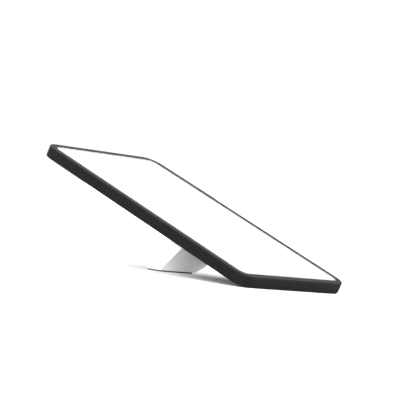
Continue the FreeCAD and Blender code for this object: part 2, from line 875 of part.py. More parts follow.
speakers = []
for side, sign in (("left", "-"), ("right", "")):
    spot = sign + "speaker_spacing / 2"
    case = brick("speaker_case_" + side,
                 ("speaker_width", "speaker_length", "speaker_height"), spot,
                 CAMERA_PLACE, INNER_BASE + " + throat_height")
    throat_width = "speaker_width - 2 * throat_margin_x"
    throat_length = "speaker_length - 2 * throat_margin_y"
    throat = brick("speaker_throat_" + side, (throat_width, throat_length, "throat_height"),
                   spot, CAMERA_PLACE, INNER_BASE)
    speakers.append(fuse("speaker_" + side, [case, throat]))
on_slab(group("speakers", speakers))

# ---------------------------------------------------------------- charging socket

socket = new_body("usb_socket")
SOCKET_FACE = "(slab_length - socket_sink)"
socket_shell = new_sketch(socket, "XZ_Plane", "-" + SOCKET_FACE)
draw_round_box(socket_shell, "socket_width", "socket_height", SLOT_ROUND % "socket_height",
               "-socket_place", SOCKET_LEVEL)
pad(socket, socket_shell, "socket_depth")
cavity = new_sketch(socket, "XZ_Plane", "-(%s - socket_cavity)" % SOCKET_FACE)
CAVITY_HEIGHT = "socket_height - 2 * socket_wall"
draw_round_box(cavity, "socket_width - 2 * socket_wall", CAVITY_HEIGHT,
               SLOT_ROUND % CAVITY_HEIGHT, "-socket_place", SOCKET_LEVEL)
pocket(socket, cavity, "socket_cavity + overcut")
tongue = new_sketch(socket, "XZ_Plane", "-(%s - tongue_sink)" % SOCKET_FACE)
draw_round_box(tongue, "tongue_width", "tongue_thick", "tongue_round", "-socket_place",
               SOCKET_LEVEL)
pad(socket, tongue, "tongue_length")
on_slab(socket)

SOCKET_BACK = "(%s - socket_depth)" % SOCKET_FACE
usb_board = brick(
    "usb_board_slab", ("socket_board_width", "socket_board_length", "small_board_thick"),
    "-socket_place", SOCKET_BACK + " - socket_board_length / 2",
    SOCKET_LEVEL + " - small_board_thick / 2"
)
on_slab(group("usb_board", [usb_board]))

# ---------------------------------------------------------------- side buttons

WALL_IN = "(%s - side_wall)" % HALF_W
FLANGE_OUT = "(%s - flange_seat)" % WALL_IN
FLANGE_IN = "(%s - flange_thick)" % FLANGE_OUT
for label, (along, cap) in BUTTONS.items():
    button = new_body(label)
    flange = new_sketch(button, "YZ_Plane", FLANGE_IN)
    draw_round_box(
        flange, "%s + 2 * (button_gap + flange_margin)" % cap,
        "cap_height + 2 * (button_gap + flange_margin - flange_trim)", "flange_corner", along,
        "button_level"
    )
    pad(button, flange, "flange_thick")
    key = new_sketch(button, "YZ_Plane", FLANGE_IN)
    draw_round_box(key, cap, "cap_height", SLOT_ROUND % "cap_height", along, "button_level")
    pad(button, key, "%s - cap_sink - %s" % (HALF_W, FLANGE_IN))
    on_slab(button)

KEY_BOARD_BASE = "(floor_thick + key_board_lift)"
KEY_BOARD_TOP = "(%s + small_board_thick)" % KEY_BOARD_BASE
KEY_BOARD_LENGTH = "(%s - %s + 2 * key_board_end)" % (LAST_KEY, FIRST_KEY)
key_board = brick(
    "key_board_slab", ("key_board_width", KEY_BOARD_LENGTH, "small_board_thick"),
    WALL_IN + " - key_board_setback", "(%s + %s) / 2" % (FIRST_KEY, LAST_KEY), KEY_BOARD_BASE
)
on_slab(group("key_board", [key_board]))
PLUNGER_END = "(%s - button_travel - switch_gap)" % FLANGE_IN
SWITCH_FACE = "(%s - plunger_width)" % PLUNGER_END
switches = []
for label, (along, cap) in BUTTONS.items():
    case = brick(label + "_switch_case", ("switch_width", "switch_length", "switch_height"),
                 SWITCH_FACE + " - switch_width / 2", along, KEY_BOARD_TOP)
    plunger = brick(label + "_plunger", ("plunger_width", "plunger_length", "plunger_height"),
                    SWITCH_FACE + " + plunger_width / 2", along,
                    KEY_BOARD_TOP + " + plunger_lift")
    switches.append(fuse(label + "_switch", [case, plunger]))
on_slab(group("key_switches", switches))

# ---------------------------------------------------------------- hinge

for side, across in KNUCKLES.items():
    bracket = new_body("hinge_bracket_" + side)
    edge = "%s - knuckle_width / 2" % across
    stem = new_sketch(bracket, "YZ_Plane", edge)
    draw_polygon(stem, [
        ("hinge_place - knuckle_radius", "-hinge_drop"),
        ("hinge_place + knuckle_radius", "-hinge_drop"),
        ("hinge_place + knuckle_radius", "-bracket_thick"),
        ("hinge_place + bracket_reach", "-bracket_thick"),
        ("hinge_place + bracket_reach", "0"),
        ("hinge_place - knuckle_radius", "0"),
    ])
    pad(bracket, stem, "knuckle_width")
    eye = new_sketch(bracket, "YZ_Plane", edge)
    draw_circle(eye, "knuckle_radius", "hinge_place", "-hinge_drop")
    pad(bracket, eye, "knuckle_width")
    bore = new_sketch(bracket, "YZ_Plane", "%s + knuckle_width / 2 + overcut" % across)
    draw_circle(bore, "pin_radius + bore_fit", "hinge_place", "-hinge_drop")
    pocket(bracket, bore, "knuckle_width + 2 * overcut")
    holes = new_sketch(bracket, "XY_Plane", "overcut")
    for along in BRACKET_HOLES:
        draw_circle(holes, "screw_radius + head_gap", across, along)
    pocket(bracket, holes, "bracket_thick + 2 * overcut")
    sinks = new_sketch(bracket, "XY_Plane", "-bracket_thick + " + SEAT_DEPTH)
    for along in BRACKET_HOLES:
        draw_circle(sinks, "screw_head + head_gap", across, along)
    pocket(bracket, sinks, "bracket_thick")
    on_slab(bracket)

nut_plate = new_body("hinge_nut_plate")
strip = new_sketch(nut_plate, "XY_Plane", "floor_thick")
draw_round_box(
    strip, "knuckle_spacing + 2 * nut_plate_margin", "nut_plate_length", "board_corner", "0",
    "hinge_place + (bracket_hole_near + bracket_hole_far) / 2"
)
for across in KNUCKLES.values():
    for along in BRACKET_HOLES:
        draw_circle(strip, "screw_radius + thread_gap", across, along)
pad(nut_plate, strip, "nut_plate_thick")
on_slab(nut_plate)

BRACKET_HEAD_BASE = "-bracket_thick + head_gap"
bracket_screws = []
for side, across in KNUCKLES.items():
    for index, along in enumerate(BRACKET_HOLES):
        bracket_screws.append(screw(
            "bracket_screw_%s_%d" % (side, index), "screw_radius", "screw_head", "head_thick",
            "floor_thick + bracket_thick - head_thick - head_gap + nut_plate_thick",
            across, along, BRACKET_HEAD_BASE
        ))
on_slab(group("bracket_screws", bracket_screws))

housing_screws = [
    screw("housing_screw_%d" % index, "screw_radius", "screw_head", "head_thick",
          "%s - head_thick - head_gap - screw_end_gap" % FRAME_BASE, across, along,
          "head_gap")
    for index, (across, along) in enumerate(BOSSES)
]
on_slab(group("housing_screws", housing_screws))

LEG_WIDTH = "(foot_width + 2 * leg_reach * tan(leg_flare * 1deg))"
PIN_START = "(-(%s / 2 - pin_margin))" % LEG_WIDTH
PIN_LENGTH = "(%s - 2 * pin_margin)" % LEG_WIDTH
pin = new_body("hinge_pin")
pin_section = new_sketch(pin, "YZ_Plane", PIN_START)
draw_circle(pin_section, "pin_radius", "hinge_place", "-hinge_drop")
pad(pin, pin_section, PIN_LENGTH)
on_slab(pin)

rings = []
for side, across in KNUCKLES.items():
    for face, sign in (("inner", "-"), ("outer", "+")):
        middle = "%s %s (knuckle_width + knuckle_gap) / 2" % (across, sign)
        start = "%s - washer_thick / 2" % middle
        name = "washer_%s_%s" % (side, face)
        ring = cross_disc(name + "_blank", "washer_radius", "washer_thick", start,
                          "hinge_place", "-hinge_drop")
        eye = cross_disc(name + "_eye", "pin_radius + bore_fit", "washer_thick", start,
                         "hinge_place", "-hinge_drop")
        rings.append(cut(name, ring, eye))
on_slab(group("friction_washers", rings))

# ---------------------------------------------------------------- feet and bumpers on the back

# Wedge-shaped rubber feet under the low edge, their soles level with the table.
SOLE = "(-(%s + (%%s) * %s) / %s)" % (SLAB_Z, TILT_SIN, TILT_COS)
FOOT_START = "edge_round + strip_margin"
FOOT_END = FOOT_START + " + strip_length"
wedges = []
for side, sign in (("left", "-"), ("right", "")):
    wedge = new_body("edge_foot_" + side)
    profile = new_sketch(wedge, "YZ_Plane", sign + "strip_spacing / 2 - strip_width / 2")
    draw_polygon(profile, [
        (FOOT_START, SOLE % FOOT_START),
        (FOOT_END, SOLE % FOOT_END),
        (FOOT_END, "0"),
        (FOOT_START, "0"),
    ])
    pad(wedge, profile, "strip_width")
    wedges.append(wedge)
on_slab(group("edge_feet", wedges))

TAPER = "((barrel_half - foot_half) / leg_reach)"
BUMPER_DEPTH = "(hinge_drop - barrel_half + %s * bumper_reach - bumper_gap)" % TAPER
bumpers = [
    disc("leg_bumper_" + side, "bumper_radius", BUMPER_DEPTH, sign + "foot_width / 4",
         "hinge_place - bumper_reach", "-" + BUMPER_DEPTH)
    for side, sign in (("left", "-"), ("right", ""))
]
on_slab(group("leg_bumpers", bumpers))

# ---------------------------------------------------------------- leg

LEG_SIN = "sin(%s * 1deg)" % LEG_ANGLE
LEG_COS = "cos(%s * 1deg)" % LEG_ANGLE
DROP = "(%s - pad_thick)" % HINGE_Z
# Where the leg's user face and back face meet the plane of the foot.
TOE_Z = "((barrel_half * %s - %s) / (%s - %s * %s))" % (LEG_SIN, DROP, LEG_COS, TAPER, LEG_SIN)
TOE_Y = "(-(barrel_half + %s * %s))" % (TAPER, TOE_Z)
BACK_Z = "(-(%s + barrel_half * %s) / (%s + %s * %s))" % (DROP, LEG_SIN, LEG_COS, TAPER, LEG_SIN)
HEEL_Y = "(barrel_half + %s * %s)" % (TAPER, BACK_Z)
# The stop: a square shoulder whose corner meets the slab's back when the leg is open.
LEAN_SIN = "sin(stand_lean * 1deg)"
LEAN_COS = "cos(stand_lean * 1deg)"
STOP_RISE = "((hinge_drop - stop_gap - barrel_half * %s) / %s)" % (LEAN_SIN, LEAN_COS)

leg = new_body("stand_leg")
LEG_LEFT = "-%s / 2" % LEG_WIDTH
body_profile = new_sketch(leg, "YZ_Plane", LEG_LEFT)
draw_polygon(body_profile, [
    ("-barrel_half", "0"),
    (TOE_Y, TOE_Z),
    (HEEL_Y, BACK_Z),
    ("barrel_half", "0"),
])
pad(leg, body_profile, LEG_WIDTH)
round_top = new_sketch(leg, "YZ_Plane", LEG_LEFT)
draw_circle(round_top, "barrel_half", "0", "0")
pad(leg, round_top, LEG_WIDTH)
shoulder = new_sketch(leg, "YZ_Plane", LEG_LEFT)
draw_polygon(shoulder, [
    ("0", "0"),
    ("barrel_half", "0"),
    ("barrel_half", STOP_RISE),
    ("barrel_half - stop_width * %s" % LEAN_COS, STOP_RISE + " + stop_width * %s" % LEAN_SIN),
])
pad(leg, shoulder, LEG_WIDTH)

# The sides draw in towards the foot.
FLARE_TAN = "tan(leg_flare * 1deg)"
FLARE_LOW = "(leg_reach + flare_extra)"
CUT_FACE = "(barrel_half + overcut)"
flanks = new_sketch(leg, "XZ_Plane", CUT_FACE)
for sign in ("-", ""):
    draw_polygon(flanks, [
        ("%s%s / 2" % (sign, LEG_WIDTH), "0"),
        ("%s(%s / 2 - %s * %s)" % (sign, LEG_WIDTH, FLARE_LOW, FLARE_TAN), "-" + FLARE_LOW),
        ("%s(%s / 2 + overcut)" % (sign, LEG_WIDTH), "-" + FLARE_LOW),
        ("%s(%s / 2 + overcut)" % (sign, LEG_WIDTH), "0"),
    ])
pocket(leg, flanks, "2 * " + CUT_FACE)


def foot_corner(side):
    """A test for the corner edge between the foot's face and one flank."""
    level = -value(DROP)
    low_sin = value(LEG_SIN)
    low_cos = value(LEG_COS)

    def wanted(edge):
        ends = edge.Vertexes
        on_foot = all(abs(v.Y * low_sin + v.Z * low_cos - level) < 1e-4 for v in ends)
        return on_foot and all(v.X * side > 0 for v in ends) and len(ends) == 2
    return wanted


round_edges(leg, "near_corner", foot_corner(-1))
round_edges(leg, "far_corner", foot_corner(1))

# Notches for the hinge knuckles, the pin's bore and the hollow behind the cover.
notches = new_sketch(leg, "XZ_Plane", CUT_FACE)
NOTCH_LOW = "(knuckle_radius + notch_gap)"
NOTCH_TOP = "(2 * barrel_half)"
for across in KNUCKLES.values():
    draw_box(notches, "knuckle_width + 2 * knuckle_gap", "%s + %s" % (NOTCH_LOW, NOTCH_TOP),
             across, "(%s - %s) / 2" % (NOTCH_TOP, NOTCH_LOW))
pocket(leg, notches, "2 * " + CUT_FACE)
leg_bore = new_sketch(leg, "YZ_Plane", LEG_WIDTH + " / 2 + overcut")
draw_circle(leg_bore, "pin_radius + pin_fit", "0", "0")
pocket(leg, leg_bore, LEG_WIDTH + " + overcut + bore_end_gap - pin_margin")

COVER_TOP = "(-knuckle_radius - cover_drop)"
COVER_LOW = "(-leg_reach + cover_rise)"
COVER_MID = "((%s + %s) / 2)" % (COVER_TOP, COVER_LOW)
COVER_LONG = "(%s - %s)" % (COVER_TOP, COVER_LOW)
COVER_WIDE = "(foot_width - 2 * cover_margin)"
COVER_SEAT = "(foot_half - cover_thick - cover_sink)"
SCREW_X = "(%s / 2 - cover_screw_inset)" % COVER_WIDE
SCREW_Z = "(%s / 2 - cover_screw_inset)" % COVER_LONG
COVER_HOLES = [
    (side + SCREW_X, "%s %s %s" % (COVER_MID, end, SCREW_Z))
    for side in ("-", "")
    for end in ("-", "+")
]
cavity = new_sketch(leg, "XZ_Plane", "foot_half - cavity_wall")
draw_round_box(
    cavity, COVER_WIDE + " - 2 * cavity_margin_x", COVER_LONG + " - 2 * cavity_margin_z",
    "cover_corner", "0", COVER_MID
)
pocket(leg, cavity, "2 * barrel_half")
cover_seat = new_sketch(leg, "XZ_Plane", "-" + COVER_SEAT)
draw_round_box(cover_seat, COVER_WIDE, COVER_LONG, "cover_corner", "0", COVER_MID)
pocket(leg, cover_seat, "barrel_half")
leg_threads = new_sketch(leg, "XZ_Plane", "-%s + cover_thread_depth" % COVER_SEAT)
for across, level in COVER_HOLES:
    draw_circle(leg_threads, "screw_radius + thread_gap", across, level)
pocket(leg, leg_threads, "barrel_half")
on_leg(leg)

cover = new_body("leg_cover")
lid = new_sketch(cover, "XZ_Plane", "-(%s + cover_thick)" % COVER_SEAT)
draw_round_box(lid, COVER_WIDE + " - 2 * cover_gap", COVER_LONG + " - 2 * cover_gap",
               "cover_corner - cover_gap", "0", COVER_MID)
for across, level in COVER_HOLES:
    draw_circle(lid, "screw_radius + head_gap", across, level)
pad(cover, lid, "cover_thick")
sinks = new_sketch(cover, "XZ_Plane", "-(%s + cover_thick - %s)" % (COVER_SEAT, SEAT_DEPTH))
for across, level in COVER_HOLES:
    draw_circle(sinks, "screw_head + head_gap", across, level)
pocket(cover, sinks, "cover_thick")
on_leg(cover)

# Screws drawn along +Z and turned a further quarter, so that they enter from the cover.
cover_screws = group("leg_cover_screws", [
    screw("cover_screw_%d" % index, "screw_radius", "screw_head", "head_thick",
          "cover_screw_length", across, level, "-(%s + cover_thick - head_gap)" % COVER_SEAT)
    for index, (across, level) in enumerate(COVER_HOLES)
])
place(cover_screws, HINGE_Y, HINGE_Z, LEG_ANGLE + " + 90")

sole = new_body("stand_foot")
sole_profile = new_sketch(sole, "YZ_Plane", "-foot_width / 2 + near_corner")
DOWN_Y = "pad_thick * " + LEG_SIN
DOWN_Z = "pad_thick * " + LEG_COS
draw_polygon(sole_profile, [
    (TOE_Y, TOE_Z),
    ("%s - %s" % (TOE_Y, DOWN_Y), "%s - %s" % (TOE_Z, DOWN_Z)),
    ("%s - %s" % (HEEL_Y, DOWN_Y), "%s - %s" % (BACK_Z, DOWN_Z)),
    (HEEL_Y, BACK_Z),
])
pad(sole, sole_profile, "foot_width - near_corner - far_corner")
on_leg(sole)

PLUG_START = "(%s / 2 - pin_margin + plug_gap)" % LEG_WIDTH
plug_body = new_body("pin_plug")
plug_section = new_sketch(plug_body, "YZ_Plane", PLUG_START)
draw_circle(plug_section, "pin_radius + pin_fit - bore_fit", "0", "0")
pad(plug_body, plug_section, "pin_margin - plug_gap - plug_end_gap")
on_leg(plug_body)

# ---------------------------------------------------------------- check and write

doc.recompute()
for item in doc.Objects:
    if "Invalid" in item.State or "Error" in item.State:
        raise RuntimeError("%s failed: %s" % (item.Label, item.State))
os.makedirs("parts", exist_ok=True)
for item in SUBPARTS:
    if item.Shape.isNull() or not item.Shape.isValid():
        raise RuntimeError("%s has no valid shape" % item.Label)
    item.Shape.exportStep("parts/%s.step" % item.Label)
    box = item.Shape.BoundBox
    print("%-20s %9.1f mm3  x %.1f %.1f  y %.1f %.1f  z %.1f %.1f" % (
        item.Label, item.Shape.Volume, box.XMin, box.XMax, box.YMin, box.YMax, box.ZMin,
        box.ZMax))
print("%d sub-parts" % len(SUBPARTS))
print("hinge at y %.3f z %.3f mm" % (value(HINGE_Y), value(HINGE_Z)))
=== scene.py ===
# %% [markdown]
# # A video magnifier, dressed for its picture
# The frame holds every rigid piece of the magnifier, already in its place and able to move.
# It could be modelled again by hand, but a second copy would drift away from the first.
# So the pieces are loaded, and this lesson gives them finishes, light and their small parts.

# %% Load the frame
import math
from collections import namedtuple
import bmesh
import bpy
from mathutils import Matrix, Vector


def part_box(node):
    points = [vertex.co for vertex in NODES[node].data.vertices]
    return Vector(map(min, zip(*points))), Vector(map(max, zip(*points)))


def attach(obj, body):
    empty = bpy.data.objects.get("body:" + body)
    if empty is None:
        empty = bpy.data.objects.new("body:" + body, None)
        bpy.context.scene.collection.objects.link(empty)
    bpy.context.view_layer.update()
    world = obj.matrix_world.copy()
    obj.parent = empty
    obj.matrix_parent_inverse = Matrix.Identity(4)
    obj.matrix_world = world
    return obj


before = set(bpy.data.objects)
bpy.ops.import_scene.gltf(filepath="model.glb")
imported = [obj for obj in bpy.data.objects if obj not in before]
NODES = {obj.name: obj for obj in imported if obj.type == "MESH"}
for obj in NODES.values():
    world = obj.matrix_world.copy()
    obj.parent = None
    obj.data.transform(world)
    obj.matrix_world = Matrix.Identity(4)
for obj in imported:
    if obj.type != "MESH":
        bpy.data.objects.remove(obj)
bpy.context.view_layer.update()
print("pieces in the frame:", len(NODES))

# %% [markdown]
# ## Where things are
# The magnifier is a thin slab that leans back on a fold-out leg. Small parts could be placed
# by world coordinates, but every number would then hide a sine and a cosine.
# One frame is kept instead: it lies in the slab's back face, with Y running up the slope.

# %% The slab's frame
MM = 0.001
SLAB_TILT = math.radians(20.6)
SLAB_FOOT = Vector((0.0, -125.353, 0.054)) * MM
SLAB = Matrix.Translation(SLAB_FOOT) @ Matrix.Rotation(SLAB_TILT, 4, "X")
SLAB_LENGTH = 272 * MM
CAMERA_PLACE = 236 * MM
PANE_MIDDLE = 0.35 * MM
pane_low, pane_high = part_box("camera_window")
pane_error = SLAB @ Vector((0, CAMERA_PLACE, PANE_MIDDLE)) - (pane_low + pane_high) / 2
print("the camera window is off by %.3f mm" % (pane_error.length / MM))

# %% [markdown]
# ## The camera
# The picture is taken from just over the table, far away, with a long lens, a little rolled.
# A near camera with a wide lens would frame the same object, but its far end would shrink.
# The camera is built from its three axes, so that the roll is one plain number.

# %% Place the camera
VIEW_AZIMUTH = math.radians(-51.51)
VIEW_HEIGHT = math.radians(0.18)
VIEW_ROLL = math.radians(7.23)
VIEW_DISTANCE = 6.873 * SLAB_LENGTH
VIEW_CENTRE = SLAB_FOOT + Vector((0.0, 0.45, 0.15)) * SLAB_LENGTH
VIEW_SLIDE = 0.0219 * SLAB_LENGTH
VIEW_LIFT = 0.1067 * SLAB_LENGTH
SENSOR_WIDTH = 36
FOCAL_LENGTH = 180
CLIP_NEAR = 0.1
CLIP_FAR = 200
back = Vector((
    math.sin(VIEW_AZIMUTH) * math.cos(VIEW_HEIGHT),
    -math.cos(VIEW_AZIMUTH) * math.cos(VIEW_HEIGHT),
    math.sin(VIEW_HEIGHT),
))
level = Vector((math.cos(VIEW_AZIMUTH), math.sin(VIEW_AZIMUTH), 0.0))
upright = back.cross(level)
right = level * math.cos(VIEW_ROLL) + upright * math.sin(VIEW_ROLL)
up = upright * math.cos(VIEW_ROLL) - level * math.sin(VIEW_ROLL)
lens = bpy.data.cameras.new("studio_camera")
lens.sensor_width = SENSOR_WIDTH
lens.lens = FOCAL_LENGTH
lens.clip_start = CLIP_NEAR
lens.clip_end = CLIP_FAR
camera = bpy.data.objects.new("studio_camera", lens)
bpy.context.scene.collection.objects.link(camera)
stand = VIEW_CENTRE + back * VIEW_DISTANCE + right * VIEW_SLIDE + up * VIEW_LIFT
axes = Matrix((right, up, back)).transposed().to_4x4()
camera.matrix_world = Matrix.Translation(stand) @ axes
bpy.context.scene.camera = camera
print("the camera stands at", [round(distance, 3) for distance in stand])

# %% [markdown]
# ## Colours and shader nodes
# A screen colour such as #2D2D2D is gamma coded, and a shader takes linear light.
# Typing linear numbers by eye is guesswork, so one function turns hex codes into them.
# A second function adds a node with its settings and links, so each finish stays readable.

# %% Helpers for finishes
Finish = namedtuple("Finish", "material tree shader place")


def srgb(code):
    """The linear colour of an sRGB hex code, for a shader's colour socket."""
    coded = [int(code[place:place + 2], 16) / 255 for place in (1, 3, 5)]
    linear = [
        part / 12.92 if part <= 0.04045 else ((part + 0.055) / 1.055) ** 2.4 for part in coded
    ]
    return (*linear, 1.0)


def add_node(tree, kind, sockets=None, links=None, **settings):
    """Adds one node, sets its properties and sockets, and links sources into it."""
    node = tree.nodes.new(kind)
    for key, setting in settings.items():
        setattr(node, key, setting)
    for key, number in (sockets or {}).items():
        node.inputs[key].default_value = number
    for key, source in (links or {}).items():
        tree.links.new(source, node.inputs[key])
    return node


def new_finish(name, base, roughness, sockets=None):
    """A material with one Principled shader, and the position that its patterns read."""
    material = bpy.data.materials.new(name)
    material.use_nodes = True
    tree = material.node_tree
    tree.nodes.clear()
    plain = {"Base Color": srgb(base), "Roughness": roughness, **(sockets or {})}
    shader = add_node(tree, "ShaderNodeBsdfPrincipled", plain)
    add_node(tree, "ShaderNodeOutputMaterial", links={"Surface": shader.outputs["BSDF"]})
    place = add_node(tree, "ShaderNodeTexCoord").outputs["Object"]
    return Finish(material, tree, shader, place)


print("linear mid grey is %.3f" % srgb("#808080")[0])

# %% [markdown]
# ## Patterns with a real size
# Moulded plastic has a fine grain from the etched mould, and handling leaves softer patches.
# Image textures could carry both, but they need unwrapping and they blur close up.
# Noise in object space needs neither, and its scale is simply one over the grain in metres.

# %% Helpers for grain, patches and brushing
GRAIN_SPAN = (0.3, 0.7)
PATCH_SPAN = (0.35, 0.65)


def add_grain(finish, size, depth, gloss, stretch=(1, 1, 1)):
    """Fine relief with lumps of a size and depth in metres, and roughness that follows it."""
    tree = finish.tree
    turned = add_node(tree, "ShaderNodeMapping", {"Scale": stretch}, {"Vector": finish.place})
    noise = add_node(
        tree, "ShaderNodeTexNoise", {"Scale": 1 / size, "Detail": 3.0},
        {"Vector": turned.outputs["Vector"]},
    )
    relief = add_node(
        tree, "ShaderNodeBump", {"Distance": depth, "Strength": 1.0},
        {"Height": noise.outputs["Fac"]},
    )
    tree.links.new(relief.outputs["Normal"], finish.shader.inputs["Normal"])
    span = dict(zip(("From Min", "From Max", "To Min", "To Max"), (*GRAIN_SPAN, *gloss)))
    rough = add_node(tree, "ShaderNodeMapRange", span, {"Value": noise.outputs["Fac"]})
    tree.links.new(rough.outputs["Result"], finish.shader.inputs["Roughness"])


def add_patches(finish, size, dark, light, socket="Base Color"):
    """A colour that drifts between two hex codes over lumps of a size in metres."""
    tree = finish.tree
    noise = add_node(
        tree, "ShaderNodeTexNoise", {"Scale": 1 / size, "Detail": 4.0, "Roughness": 0.6},
        {"Vector": finish.place},
    )
    ramp = add_node(tree, "ShaderNodeValToRGB", links={"Fac": noise.outputs["Fac"]})
    for stop, place, code in zip(ramp.color_ramp.elements, PATCH_SPAN, (dark, light)):
        stop.position = place
        stop.color = srgb(code)
    tree.links.new(ramp.outputs["Color"], finish.shader.inputs[socket])


print("patterns use noise between", GRAIN_SPAN, "and", PATCH_SPAN)

# %% [markdown]
# ## Moulded plastics
# The housing is injection-moulded ABS from a spark-etched mould: matt, nearly black, and with
# a fine grain that breaks up reflections. The rim is the same plastic from a smoother mould.
# The grain of about 0.3 mm is drawn at 0.9 mm, because anything finer would not show.
# The leg is white ABS, a little glossier, and faint patches keep it from looking like paper.

# %% Plastics
housing = new_finish("etched_black_abs", "#0A0A0B", 0.7, {"IOR": 1.5, "Specular IOR Level": 0.12})
add_patches(housing, 45 * MM, "#08080A", "#0C0C0D")
add_grain(housing, 0.9 * MM, 0.05 * MM, (0.6, 0.8))

rim = new_finish("satin_black_abs", "#161617", 0.55, {"IOR": 1.5, "Specular IOR Level": 0.08})
add_patches(rim, 60 * MM, "#141415", "#19191A")
add_grain(rim, 1.2 * MM, 0.015 * MM, (0.5, 0.62))

leg_shell = new_finish("satin_white_abs", "#EDEDEE", 0.5, {"IOR": 1.5})
add_patches(leg_shell, 20 * MM, "#EAEAEB", "#F0F0F0")
add_grain(leg_shell, 0.8 * MM, 0.02 * MM, (0.42, 0.58))

key_shell = new_finish("soft_grey_abs", "#4A4C4F", 0.5, {"IOR": 1.5})
add_patches(key_shell, 3 * MM, "#46484B", "#4E5053")
add_grain(key_shell, 0.4 * MM, 0.01 * MM, (0.42, 0.56))

signal_shell = new_finish("soft_amber_abs", "#B9782E", 0.45, {"IOR": 1.5})
add_patches(signal_shell, 3 * MM, "#B2722A", "#C07E33")
add_grain(signal_shell, 0.4 * MM, 0.01 * MM, (0.4, 0.52))

frosted = new_finish(
    "frosted_polycarbonate", "#EDEFF0", 0.35, {"IOR": 1.58, "Transmission Weight": 0.6}
)
add_patches(frosted, 1.5 * MM, "#E6E9EA", "#F3F4F5")
add_grain(frosted, 0.5 * MM, 0.02 * MM, (0.28, 0.45))
print("plastics made: housing, rim, leg, two keys and lamp window")

# %% [markdown]
# ## Rubber
# The feet and the leg's bumpers are moulded silicone rubber: dark, dull and a little dusty.
# A plain dark colour would look like the housing, so it is lighter and rougher with broad dust.

# %% Rubber
rubber = new_finish("moulded_silicone_rubber", "#2A2A2B", 0.85, {"IOR": 1.41})
add_patches(rubber, 6 * MM, "#262627", "#333334")
add_grain(rubber, 0.5 * MM, 0.04 * MM, (0.78, 0.95))
print("rubber made")

# %% [markdown]
# ## Glass and the lit screen
# The screen is a liquid crystal panel with an even white backlight under hard cover glass.
# A white material would need strong light to look lit, so the panel gives light of its own.
# Its light drifts a little over the panel, as the light guide's dots never quite even out.

# %% Glass, screen and its black border
cover = new_finish(
    "hard_cover_glass", "#FFFFFF", 0.02, {"IOR": 1.51, "Transmission Weight": 1.0}
)
add_grain(cover, 18 * MM, 0.0, (0.0, 0.05))

optical = new_finish(
    "coated_optical_glass", "#DCE6F2", 0.01, {"IOR": 1.52, "Transmission Weight": 0.7}
)
add_grain(optical, 4 * MM, 0.0, (0.0, 0.04))

screen = new_finish("lit_liquid_crystal", "#0C0C0D", 0.3, {"Emission Strength": 0.5})
add_patches(screen, 90 * MM, "#F7F8FA", "#FFFFFF", socket="Emission Color")
add_grain(screen, 0.8 * MM, 0.0, (0.25, 0.35))

film = new_finish("black_light_seal_film", "#0B0B0B", 0.7, {"IOR": 1.5})
add_patches(film, 8 * MM, "#090909", "#0E0E0E")
add_grain(film, 0.6 * MM, 0.01 * MM, (0.6, 0.8))

guide = new_finish("moulded_acrylic", "#F2F6F8", 0.1, {"IOR": 1.49, "Transmission Weight": 0.9})
add_patches(guide, 12 * MM, "#EEF3F6", "#F7FAFB")
add_grain(guide, 0.7 * MM, 0.01 * MM, (0.06, 0.16))

phosphor = new_finish("led_phosphor", "#E8C94E", 0.6)
add_patches(phosphor, 0.6 * MM, "#DDBB3E", "#F0D564")
add_grain(phosphor, 0.3 * MM, 0.01 * MM, (0.5, 0.7))
print("glass made: cover and optics, with screen, film, light guide and phosphor")

# %% [markdown]
# ## Metals
# The hinge is nickel-plated steel with faint brush lines across it, and the midframe is cast
# magnesium with a blotchy conversion coat. Brush lines could be a texture drawn on each face,
# but noise stretched along X gives them everywhere at once. The index of refraction stays as is.

# %% Metals
BRUSH = (0.06, 1.0, 1.0)
steel = new_finish("brushed_nickel_steel", "#B9BBBD", 0.3, {"Metallic": 1.0})
add_patches(steel, 9 * MM, "#B0B2B5", "#C2C4C6")
add_grain(steel, 0.25 * MM, 0.004 * MM, (0.24, 0.4), BRUSH)

screw_steel = new_finish("black_zinc_screw_steel", "#4C4D50", 0.36, {"Metallic": 1.0})
add_patches(screw_steel, 1.2 * MM, "#434447", "#56575A")
add_grain(screw_steel, 0.2 * MM, 0.004 * MM, (0.3, 0.46))

washer_steel = new_finish("spring_steel", "#8E9094", 0.28, {"Metallic": 1.0})
add_patches(washer_steel, 2 * MM, "#84868A", "#999B9F")
add_grain(washer_steel, 0.2 * MM, 0.003 * MM, (0.22, 0.36), BRUSH)

magnesium = new_finish("cast_magnesium", "#9A9B96", 0.5, {"Metallic": 1.0})
add_patches(magnesium, 7 * MM, "#8C8D88", "#A6A7A2")
add_grain(magnesium, 0.8 * MM, 0.03 * MM, (0.42, 0.6))
print("metals made: steel, screws, washers and magnesium")

# %% [markdown]
# ## Boards, chips and pouches
# Inside are glass-fibre boards under green solder mask, black epoxy chips, foil battery
# pouches and amber polyimide ribbons. They only show if the housing is taken off, so each one
# keeps to the same two patterns at its own scale: patches for its colour, grain for its touch.

# %% Inner materials
mask = new_finish("green_solder_mask", "#1F5A36", 0.35, {"IOR": 1.5})
add_patches(mask, 5 * MM, "#1B5030", "#25663F")
add_grain(mask, 0.5 * MM, 0.01 * MM, (0.3, 0.42))

epoxy = new_finish("moulded_black_epoxy", "#1B1B1C", 0.6, {"IOR": 1.55})
add_patches(epoxy, 2 * MM, "#181819", "#202021")
add_grain(epoxy, 0.2 * MM, 0.008 * MM, (0.52, 0.7))

pouch = new_finish("aluminium_pouch_foil", "#A9ACAF", 0.4, {"Metallic": 1.0})
add_patches(pouch, 10 * MM, "#A1A4A7", "#B4B7BA")
add_grain(pouch, 1.4 * MM, 0.03 * MM, (0.34, 0.5))

